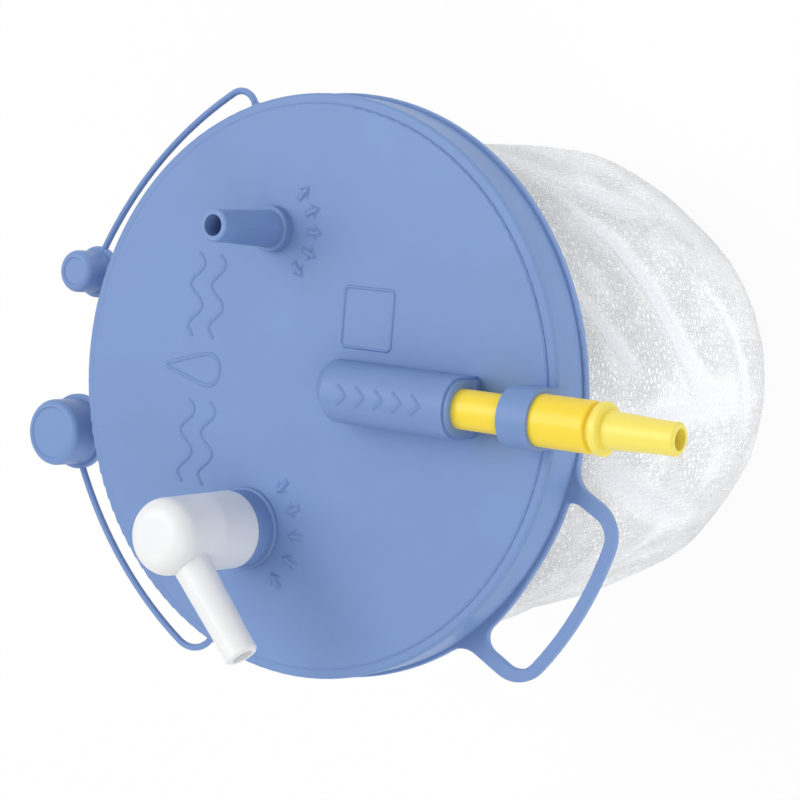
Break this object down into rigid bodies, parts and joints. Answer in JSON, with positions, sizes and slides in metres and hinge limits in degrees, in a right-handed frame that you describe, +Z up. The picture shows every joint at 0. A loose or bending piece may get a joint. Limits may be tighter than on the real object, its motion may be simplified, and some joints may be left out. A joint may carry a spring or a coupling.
{
  "type": "suction canister",
  "caption": "Suction canister liner: round blue lid with a swivelling elbow, vacuum connector, tandem port and tethered caps over a frosted film bag.",
  "frame": {"origin": "middle of the flat spot that the bag stands on, on the lid's axis", "axes": "+X from the lid's axis towards the vacuum connector's tip, +Y across the lid towards the tandem port, +Z up through the lid's face"},
  "size_m": [0.2167, 0.1577, 0.1973],
  "materials": {
    "lid_blue": "satin moulded polyethylene",
    "bag_film": "frosted embossed film",
    "elbow_white": "smooth moulded",
    "connector_yellow": "smooth moulded",
    "tip_yellow": "smooth moulded",
    "filter_white": "sintered porous plastic",
    "valve_rubber": "soft moulded rubber",
    "small_cap_blue": "satin moulded polyethylene",
    "large_cap_blue": "satin moulded polyethylene"
  },
  "bodies": {
    "liner": {"lid": "lid_blue", "liner_bag": "bag_film", "vacuum_connector": "connector_yellow", "connector_tip": "tip_yellow", "vacuum_filter": "filter_white", "backflow_valve": "valve_rubber"},
    "elbow": {"patient_elbow": "elbow_white"},
    "small_cap": {"tandem_cap": "small_cap_blue"},
    "large_cap": {"patient_cap": "large_cap_blue"}
  },
  "joints": [
    {"name": "elbow_swivel", "type": "hinge", "parent": "liner", "child": "elbow", "pos_m": [-0.0156, -0.0397, 0.175], "axis": [0, 0, 1], "continuous": true},
    {"name": "small_cap_lift", "type": "hinge", "parent": "liner", "child": "small_cap", "pos_m": [-0.03406, 0.07404, 0.1465], "axis": [-0.4179, 0.9085, 0], "range_deg": [0, 90], "stiffness_Nm_per_rad": 0.004},
    {"name": "large_cap_lift", "type": "hinge", "parent": "liner", "child": "large_cap", "pos_m": [-0.03457, -0.0738, 0.1465], "axis": [0.4242, 0.9056, 0], "range_deg": [0, 90], "stiffness_Nm_per_rad": 0.004}
  ]
}
